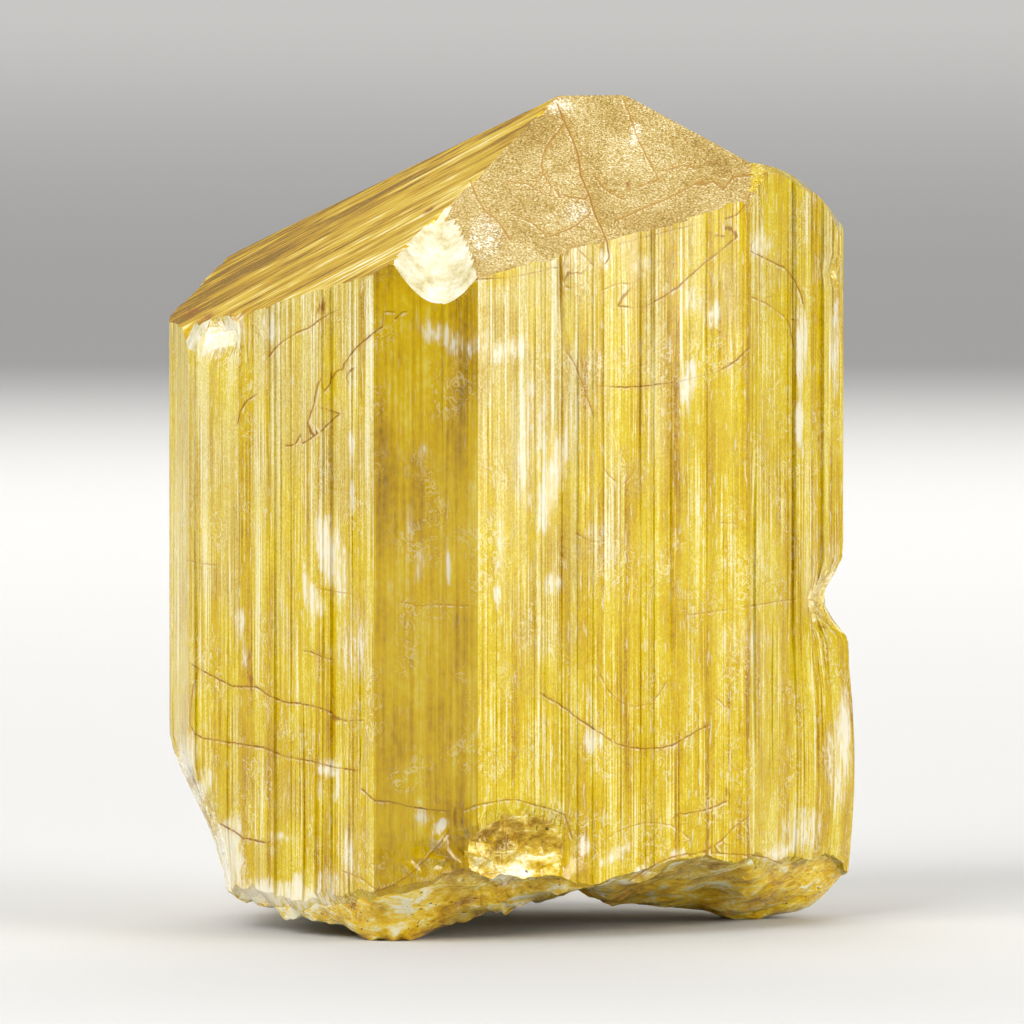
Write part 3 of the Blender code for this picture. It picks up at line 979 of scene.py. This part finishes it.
def draw_cracks(tree, base, wobble, fine, strength):
    """Brown line with a pale lip along each crack, finer and fainter where it is pale."""
    signed = sums(tree, (mark(tree, "crack"), 1.0), (wobble, 0.12), (None, -0.06))
    near = window(tree, mark(tree, "crack_away"), 0.45, 0.25)
    dark = times(tree, mark(tree, "crack_dark"), strength)
    away = add(tree, "ShaderNodeMath", {0: signed}, operation="ABSOLUTE").outputs[0]
    width = sums(tree, (dark, 0.025), (fine, 0.10), (None, -0.036))
    core = add(tree, "ShaderNodeMath", {0: away, 1: width}, operation="SUBTRACT").outputs[0]
    core = times(tree, window(tree, core, 0.018, -0.018), near)
    lip = times(tree, line_at(tree, signed, 0.10, 0.015, 0.05), near)
    lip = times(tree, lip, window(tree, fine, 0.45, 0.6, 0.0, 0.6))
    base = blend(tree, lip, base, PALE_LIP)
    halo = times(tree, window(tree, away, 0.30, 0.04), near)
    base = blend(tree, times(tree, halo, sums(tree, (dark, 0.25))), base, GOLD_HALO)
    shown = times(tree, core, window(tree, dark, 0.1, 0.8, 0.5, 0.9))
    return blend(tree, shown, base, blend(tree, dark, BROWN_LINE, DARK_LINE))


# %% Veils, stains and inclusions
VEIL_GLOW, VEIL_WHITE, RUST = "#FFF3C6", "#FFFEF0", "#9A5A0C"
# the white of the short dashes is a painted glint
CURL_SHADE, CURL_LIGHT, PAINTED_GLINT = "#A47A10", "#FFF8D0", "#FFFAE0"


def marked(tree, at, base, wobble, fine, cracks=1.0):
    """Lay the veils, stains and cracks over a finish."""
    torn = grain(tree, at, 0.30, 0.9, 2.0, 0.7)
    depth = mark(tree, "veil")
    veil = sums(tree, (depth, 0.8), (torn, 3.6), (fine, 4.0), (None, -3.75))
    veil = times(tree, window(tree, veil, 0.1, 1.0, 0.0, 0.65), window(tree, depth, 0.0, 0.35))
    base = blend(tree, window(tree, depth, 0.0, 1.1, 0.0, 0.6), base, VEIL_GLOW)
    base = blend(tree, veil, base, VEIL_WHITE)
    depth = mark(tree, "stain")
    rust = sums(tree, (depth, 1.0), (torn, 1.8), (None, -0.95))
    rust = times(tree, window(tree, rust, 0.3, 1.0, 0.0, 0.85), window(tree, depth, 0.0, 0.3))
    base = blend(tree, rust, base, RUST)
    return draw_cracks(tree, base, wobble, fine, cracks)


def flecks_and_glints(tree, at, base, curls, dashes):
    """Tiny curled inclusions with a lit and a shaded side, and short bright dashes that are painted
    glints.
    """
    where = window(tree, mark(tree, "where"), 0.48, 0.66, 0.0, curls)
    curl = grain(tree, at, 0.42, 0.55, 1.0, 0.5, 1.2)
    shaded = times(tree, line_at(tree, curl, 0.455, 0.01, 0.035), sums(tree, (where, 0.6)))
    base = blend(tree, shaded, base, CURL_SHADE)
    lit = times(tree, line_at(tree, curl, 0.54, 0.015, 0.045), where)
    base = blend(tree, lit, base, CURL_LIGHT)
    # short white dashes: painted glints
    glint_dash = grain(tree, at, 0.12, 0.8, 0.0)
    return blend(tree, window(tree, glint_dash, 0.68, 0.78, 0.0, dashes), base, PAINTED_GLINT)


# %% [markdown]
# ## The stone itself
#
# Marialite is a clear silicate. Light that goes in comes out more golden the longer
# its way, and that is absorption in the volume, the same all through the crystal. The
# surface above it is only partly see-through, because veils and fine cracks just under
# the skin send half of the light back. So every finish is one shader: its own colour
# for the part that comes back, plain transmission for the rest, and the volume below.

# %% The shader of every finish
STONE_IOR = 1.55
DEPTH_COLOUR, DEPTH_DENSITY = "#FCFB27", 120.0


def finish(tree, base, rough, normal, transmission, specular=0.5):
    """The stone's shader: see-through, with the colour of its depth as absorption."""
    links = {"Base Color": base, "Roughness": rough, "IOR": STONE_IOR,
             "Transmission Weight": transmission, "Specular IOR Level": specular}
    if normal:
        links["Normal"] = normal
    shader = add(tree, "ShaderNodeBsdfPrincipled", links).outputs[0]
    depth = {"Color": DEPTH_COLOUR, "Density": DEPTH_DENSITY}
    depth = add(tree, "ShaderNodeVolumeAbsorption", depth).outputs[0]
    add(tree, "ShaderNodeOutputMaterial", {"Surface": shader, "Volume": depth})


def raised(tree, height, strength, distance):
    """The normal of a fine relief, its full height given in metres."""
    links = {"Height": height, "Strength": strength, "Distance": distance}
    return add(tree, "ShaderNodeBump", links).outputs[0]


print("way in mm after which about a third of the blue light is left:", round(1000 / DEPTH_DENSITY, 1))

# %% [markdown]
# ## Striated gold
#
# Grown prism faces of a gem-grade crystal: glassy, with fine lengthwise striations.
# Light that comes back through them is broken into cream and gold threads. The treads
# of the mesh give the broad steps, and noise drawn out along the crystal the threads
# between them. The real threads are 0.15 to 0.25 mm apart, and the finest are drawn
# at that size. Cream above and gold below follow the depth of the stone behind.

# %% Colours of the threads, from shade to light
PALE = (
    (0.0, "#A67E16"), (0.2, "#C6A434"), (0.4, "#DAC262"),
    (0.58, "#EADC98"), (0.76, "#F9F2CC"), (1.0, "#FFFEF0"),
)
GOLD = (
    (0.0, "#A07400"), (0.2, "#C09800"), (0.4, "#D6B400"),
    (0.58, "#E1C71C"), (0.76, "#F1DF6C"), (1.0, "#FFF7C8"),
)
# how much each pattern moves the brightness, and the brightness with all at their middle
MEDIUM, CLOUD, MOTTLE, SPECK = 0.35, 0.7, 0.36, 0.4
MIDDLE_TONE = 0.48
# the gold fades upwards between these heights and grows to the right, in metres
GOLD_LOW, GOLD_HIGH, GOLD_LEFT, GOLD_RIGHT = 0.004, 0.036, 0.001, 0.009


def prism_colour(tree, at, thread, gold_shift):
    """Colour, threads, mottle and fine grain of a striated face."""
    fine = grain(tree, at, 0.24, 18.0, 2.0, 0.6)
    hair = grain(tree, at, 0.10, 8.0, 0.0)
    mottle = grain(tree, at, 0.42, 0.7, 2.0, 0.7)
    speck = grain(tree, at, 0.09, 0.12, 0.0)
    cloud, tone = mark(tree, "cloud"), mark(tree, "tone")
    shows = window(tree, mark(tree, "shows"), 0.36, 0.64, 0.22 * thread, 0.95 * thread)
    lit = window(tree, hair, 0.54, 0.68, 0.0, 0.34)
    dark = window(tree, hair, 0.44, 0.32, 0.0, -0.22)
    lines = times(tree, sums(tree, (fine, 1.1), (lit, 1.0), (dark, 0.8), (None, -0.57)), shows)
    deep = window(tree, tone, -0.5, -1.0, 0.0, -0.12)
    value = sums(
        tree, (lines, 1.0), (mark(tree, "medium"), MEDIUM), (cloud, CLOUD), (mottle, MOTTLE),
        (speck, SPECK), (tone, 0.07), (deep, 1.0), (mark(tree, "line"), 0.08),
        (None, MIDDLE_TONE - (MEDIUM + CLOUD + MOTTLE + SPECK) / 2),
    )
    part = add(tree, "ShaderNodeSeparateXYZ", {0: at})
    above = window(tree, part.outputs["Z"], GOLD_LOW, GOLD_HIGH)
    right = window(tree, part.outputs["X"], GOLD_LEFT, GOLD_RIGHT)
    golden = sums(
        tree, (above, -0.8), (right, 0.5), (cloud, 2.4), (mottle, 0.7), (tone, -0.15),
        (mark(tree, "gold"), 0.9), (None, -0.60 + gold_shift),
    )
    golden = window(tree, golden, 0.0, 1.0)
    return blend(tree, golden, ramp(tree, value, PALE), ramp(tree, value, GOLD)), lines, mottle, fine


# %% Striated prism faces
def striated_gold():
    # Grown and glassy: threads of cream and gold with a sharp, faint sheen on them.
    material, tree = new_material("marialite, striated prism faces")
    at = add(tree, "ShaderNodeTexCoord").outputs["Object"]
    base, lines, mottle, fine = prism_colour(tree, at, 1.0, 0.05)
    base = flecks_and_glints(tree, at, base, 0.4, 0.35)
    base = marked(tree, at, base, mottle, fine)
    finish(tree, base, 0.12, raised(tree, lines, 0.4, 0.00005), 0.4, 0.2)
    return material


# %% [markdown]
# ## Rear faces
#
# The back grew like the front, and the photograph doesn't show it. It gets the same
# threads in a deeper gold, and pale haze in place of single marks. It is also what
# light meets inside the stone, so it is kept simpler, which shortens the render.

# %% Rear prism faces
def rear_faces():
    # Grown and hazy: gold threads that fade in and out of a milky bloom.
    material, tree = new_material("marialite, rear prism faces")
    at = add(tree, "ShaderNodeTexCoord").outputs["Object"]
    base, _, mottle, fine = prism_colour(tree, at, 0.9, 0.3)
    haze = sums(tree, (mark(tree, "veil"), 1.0), (fine, 1.6), (mottle, 1.2), (None, -1.45))
    base = blend(tree, window(tree, haze, 0.0, 0.8, 0.0, 0.7), base, "#FFF8DA")
    finish(tree, base, 0.15, None, 0.4, 0.2)
    return material


# %% [markdown]
# ## The clear amber window
#
# One narrow face on the front is nearly free of growth lines, and the eye sees into
# the stone there. A darker base and more transmission do it. Real depth would need
# clean stone all the way through, and here the veils behind would show as noise.

# %% Clear amber window
AMBER = (
    (0.0, "#8E6C00"), (0.25, "#C49A00"), (0.48, "#DEB600"),
    (0.62, "#E8C400"), (0.82, "#F2DA50"), (1.0, "#FFF8C4"),
)


def amber_window():
    # Grown smooth: deep amber, more see-through than the rest, with a glassy skin.
    material, tree = new_material("marialite, clear amber window")
    at = add(tree, "ShaderNodeTexCoord").outputs["Object"]
    fine = grain(tree, at, 0.2, 10.0, 2.0, 0.6)
    mottle = grain(tree, at, 0.3, 0.45, 2.0, 0.7)
    # the tone mark also carries the painted shade along the window's two edges
    value = sums(tree, (fine, 0.9), (mark(tree, "cloud"), 1.1), (mottle, 0.5),
                 (mark(tree, "line"), 0.16), (mark(tree, "tone"), 0.14), (None, -0.72))
    base = flecks_and_glints(tree, at, ramp(tree, value, AMBER), 0.3, 0.1)
    base = marked(tree, at, base, mottle, fine)
    finish(tree, base, 0.05, raised(tree, fine, 0.3, 0.00004), 0.6, 0.15)
    return material


# %% [markdown]
# ## The etched pyramid face
#
# Fluids in the rock have etched this face to a fine frost of pits about 0.1 mm wide.
# Frost scatters light, so it is rough and pale and no growth line shows. The pits are
# too fine for the mesh. A bump from the same noise as the colour keeps each pit's
# shade and shape together.

# %% Etched pyramid face
FROST = (
    (0.05, "#86661A"), (0.34, "#A88838"), (0.52, "#BCA054"), (0.7, "#CEB97E"), (0.95, "#ECE0B6"),
)


def frosted_face():
    # Etched: a dry, sugary frost that glitters softly and has no clear reflection.
    material, tree = new_material("marialite, etched pyramid face")
    at = add(tree, "ShaderNodeTexCoord").outputs["Object"]
    fine = grain(tree, at, 0.10, 0.10, 1.0, 0.6)
    mottle = grain(tree, at, 0.5, 0.5, 2.0, 0.6)
    value = sums(tree, (fine, 1.8), (mark(tree, "cloud"), 0.9), (mottle, 0.4),
                 (mark(tree, "gold"), -0.25), (None, -1.05))
    base = marked(tree, at, ramp(tree, value, FROST), mottle, fine, 0.9)
    finish(tree, base, 0.5, raised(tree, fine, 0.6, 0.00005), 0.3)
    return material


# %% [markdown]
# ## The streaked pyramid face
#
# The left pyramid face is grown in long splinters that run up along the edge that it
# shares with the etched face. Noise has to be drawn out along that edge, which isn't
# one of the axes. Three directions, measured along, across and out of the face, turn
# the pattern to it.

# %% Streaked pyramid face
# direction and size in mm of the streaks: along, across and out of the face
STREAKS = (
    ((0.829, -0.323, 0.457), 3.5), ((0.200, 0.935, 0.298), 0.4), ((-0.523, -0.155, 0.839), 0.4),
)
STREAK_TONES = (
    (0.0, "#8E6A0C"), (0.22, "#B48A10"), (0.42, "#CEA81E"),
    (0.6, "#DEC040"), (0.78, "#F4E298"), (1.0, "#FFFBE6"),
)


def golden_face():
    # Grown in splinters: bright and dark gold streaks with little gloss.
    material, tree = new_material("marialite, streaked pyramid face")
    at = add(tree, "ShaderNodeTexCoord").outputs["Object"]
    parts = []
    for axis, size in STREAKS:
        links = {0: at, 1: [a * 1000.0 / size for a in axis]}
        dot = add(tree, "ShaderNodeVectorMath", links, operation="DOT_PRODUCT")
        parts.append(dot.outputs["Value"])
    turned = add(tree, "ShaderNodeCombineXYZ", dict(enumerate(parts))).outputs[0]
    links = {"Vector": turned, "Scale": 1.0, "Detail": 3.0, "Roughness": 0.65, "Distortion": 0.4}
    streak = add(tree, "ShaderNodeTexNoise", links).outputs["Fac"]
    links = {"Vector": turned, "Scale": 0.2, "Detail": 2.0}
    broad = add(tree, "ShaderNodeTexNoise", links).outputs["Fac"]
    far = add(tree, "ShaderNodeSeparateXYZ", {0: at}).outputs["Y"]
    value = sums(tree, (streak, 2.1), (broad, 1.3), (window(tree, far, -0.006, 0.008), -0.4),
                 (None, -1.25))
    base = marked(tree, at, ramp(tree, value, STREAK_TONES), broad, streak)
    finish(tree, base, 0.25, raised(tree, streak, 0.35, 0.0001), 0.25, 0.1)
    return material


# %% [markdown]
# ## The fresh chips
#
# Where a knock has split a flake off the upper edge, the stone breaks like thick glass,
# in smooth shells. Trapped air just under them makes the chips almost white. The mesh
# gives the hollow, and cloudy noise the shells.

# %% Fresh chips
CHIP_TONES = ((0.32, "#C9BA84"), (0.44, "#E2D8AC"), (0.54, "#EFE8C8"), (0.66, "#FBF8E6"))


def chip_white():
    # Broken clean: milky white with a wet gloss.
    material, tree = new_material("marialite, fresh conchoidal chip")
    at = add(tree, "ShaderNodeTexCoord").outputs["Object"]
    cloud = grain(tree, at, 0.9, 0.9, 4.0, 0.65)
    base = ramp(tree, cloud, CHIP_TONES)
    finish(tree, base, 0.15, raised(tree, cloud, 0.6, 0.0002), 0.35, 0.3)
    return material


# %% [markdown]
# ## The hackly break
#
# The underside and the hollow low on the front are torn, not split: small curved
# shells with sharp crests, deep gold where the stone is thick and nearly white on the
# crests, with a few dark grains of rock. Near the ground the gold is stronger, because
# light from the pale floor comes through the thin lobes.

# %% Hackly break
BREAK_ABOVE = (
    (0.0, "#94700E"), (0.25, "#BC961C"), (0.5, "#D6B840"), (0.7, "#ECDA88"), (0.95, "#FFFBE0"),
)
BREAK_BELOW = (
    (0.0, "#A87400"), (0.25, "#DCAA04"), (0.5, "#F4CA14"), (0.7, "#FCE060"), (0.95, "#FFFBD8"),
)
# heights in metres between which the one turns into the other
ABOVE_FROM, BELOW_FROM = 0.0036, 0.0022


def broken_base():
    # Torn: small glossy shells from deep gold to white, with dark grains.
    material, tree = new_material("marialite, hackly break")
    at = add(tree, "ShaderNodeTexCoord").outputs["Object"]
    shells = grain(tree, at, 1.0, 0.45, 2.0, 0.6, 0.6)
    fine = grain(tree, at, 0.2, 0.12, 1.0, 0.6)
    value = sums(tree, (mark(tree, "gold"), -0.3), (mark(tree, "cloud"), 1.8), (shells, 1.8),
                 (fine, 0.6), (None, -1.55))
    height = add(tree, "ShaderNodeSeparateXYZ", {0: at}).outputs["Z"]
    low = window(tree, height, ABOVE_FROM, BELOW_FROM)
    base = blend(tree, low, ramp(tree, value, BREAK_ABOVE), ramp(tree, value, BREAK_BELOW))
    base = flecks_and_glints(tree, at, base, 0.5, 0.1)
    speck = window(tree, grain(tree, at, 0.22, 0.22, 0.0), 0.78, 0.82, 0.0, 0.85)
    base = marked(tree, at, blend(tree, speck, base, "#4A3208"), shells, fine)
    finish(tree, base, 0.08, raised(tree, shells, 0.6, 0.0002), 0.25, 0.25)
    return material


# %% The finishes on the crystal
for make in (striated_gold, amber_window, frosted_face, golden_face, chip_white, broken_base, rear_faces):
    crystal.data.materials.append(make())
print("finishes:", [m.name for m in crystal.data.materials])

# %% [markdown]
# ## Floor
#
# The crystal stands on a plain pale floor. A disc far wider than the view shows no
# edge, and a matt finish keeps its shadow soft.

# %% Floor
bm = bmesh.new()
bmesh.ops.create_circle(bm, cap_ends=True, segments=64, radius=40.0)
floor_mesh = bpy.data.meshes.new("floor")
bm.to_mesh(floor_mesh)
bm.free()
floor = bpy.data.objects.new("floor", floor_mesh)
bpy.context.scene.collection.objects.link(floor)
floor_material, tree = new_material("pale matt floor")
shader = add(tree, "ShaderNodeBsdfPrincipled", {"Base Color": "#B6B5B3", "Roughness": 0.9})
add(tree, "ShaderNodeOutputMaterial", {"Surface": shader.outputs[0]})
floor.data.materials.append(floor_material)

# %% [markdown]
# ## Soft studio light
#
# Glassy stone shows what stands around it. A few large soft boxes give it broad, calm
# reflections, and a dim sky that is brighter at its horizon fills the shadows. One box
# behind the stone sends light through it. It would glare as a mirror image, so gloss
# doesn't see it. Three more only keep the far floor as pale as the near one.

# %% Sky
HORIZON, OVERHEAD, OVERHEAD_FROM = 0.42, 0.1, 0.28
world = bpy.data.worlds.new("studio")
bpy.context.scene.world = world
world.use_nodes = True
sky = world.node_tree
way = add(sky, "ShaderNodeTexCoord").outputs["Generated"]
up = add(sky, "ShaderNodeSeparateXYZ", {0: way}).outputs["Z"]
fade = window(sky, up, 0.0, OVERHEAD_FROM, HORIZON, OVERHEAD)
sky.links.new(fade, sky.nodes["Background"].inputs["Color"])
sky.nodes["Background"].inputs["Strength"].default_value = 1.0

# %% Soft boxes
STONE_MIDDLE = (0.0, 0.0, 0.02)


def softbox(name, place, size, power, mirrored=True, towards=STONE_MIDDLE):
    """A rectangular lamp: place and size in metres, power in watts."""
    light = bpy.data.lights.new(name, "AREA")
    light.shape = "RECTANGLE"
    light.size, light.size_y = size
    light.energy = power
    box = bpy.data.objects.new(name, light)
    box.location = place
    box.rotation_mode = "QUATERNION"
    box.rotation_quaternion = (Vector(towards) - Vector(place)).to_track_quat("-Z", "Y")
    box.visible_camera = False
    box.visible_glossy = mirrored
    bpy.context.scene.collection.objects.link(box)


softbox("key from upper left", (-0.30, -0.40, 0.35), (0.40, 0.40), 4.8)
softbox("fill from right", (0.45, -0.30, 0.20), (0.30, 0.40), 3.4)
softbox("glow from behind", (0.0, 0.45, 0.27), (0.70, 0.30), 2.7, mirrored=False)
FLOOR_SHARE = 0.82
for side, x, y in (("rear", 0.0, 1.7), ("left", -1.7, 0.0), ("right", 1.7, 0.0)):
    softbox("light on the far floor, " + side, (x, y, 0.9), (1.2, 0.6), 12.0, mirrored=False,
            towards=(x * FLOOR_SHARE, y * FLOOR_SHARE, 0.0))
softbox("strip above", (0.0, 0.05, 0.50), (0.40, 0.20), 0.5)

# %% [markdown]
# ## Camera
#
# The crystal was photographed almost level and from far off, so its upright edges stay
# upright. A long lens one metre away does the same. Its length follows from the size
# that one pixel of the picture has at the crystal.

# %% Camera at the photograph's angle
PICTURE_WIDTH = 1024
SENSOR = 36.0
DISTANCE = 1.0
AIM_HEIGHT = 0.01997
lens = bpy.data.cameras.new("camera")
camera = bpy.data.objects.new("camera", lens)
bpy.context.scene.collection.objects.link(camera)
aim = Vector((-MIDDLE.x * MM, -MIDDLE.y * MM, AIM_HEIGHT))
back = Vector((0.0, -math.cos(TILT), math.sin(TILT)))
camera.location = aim + back * DISTANCE
camera.rotation_mode = "QUATERNION"
camera.rotation_quaternion = (-back).to_track_quat("-Z", "Y")
lens.sensor_width = SENSOR
lens.lens = SENSOR * DISTANCE / (PICTURE_WIDTH * PIXEL_MM * MM)
lens.clip_start, lens.clip_end = 0.01, 50.0
bpy.context.scene.camera = camera
print("lens in mm:", round(lens.lens))

# %% Colour on screen, and how far light is followed
bpy.context.scene.view_settings.view_transform = "Standard"
# after six passes through the stone's skin, light adds nothing that shows
light_paths = bpy.context.scene.cycles
light_paths.max_bounces = light_paths.transmission_bounces = 6
light_paths.diffuse_bounces = light_paths.glossy_bounces = 2
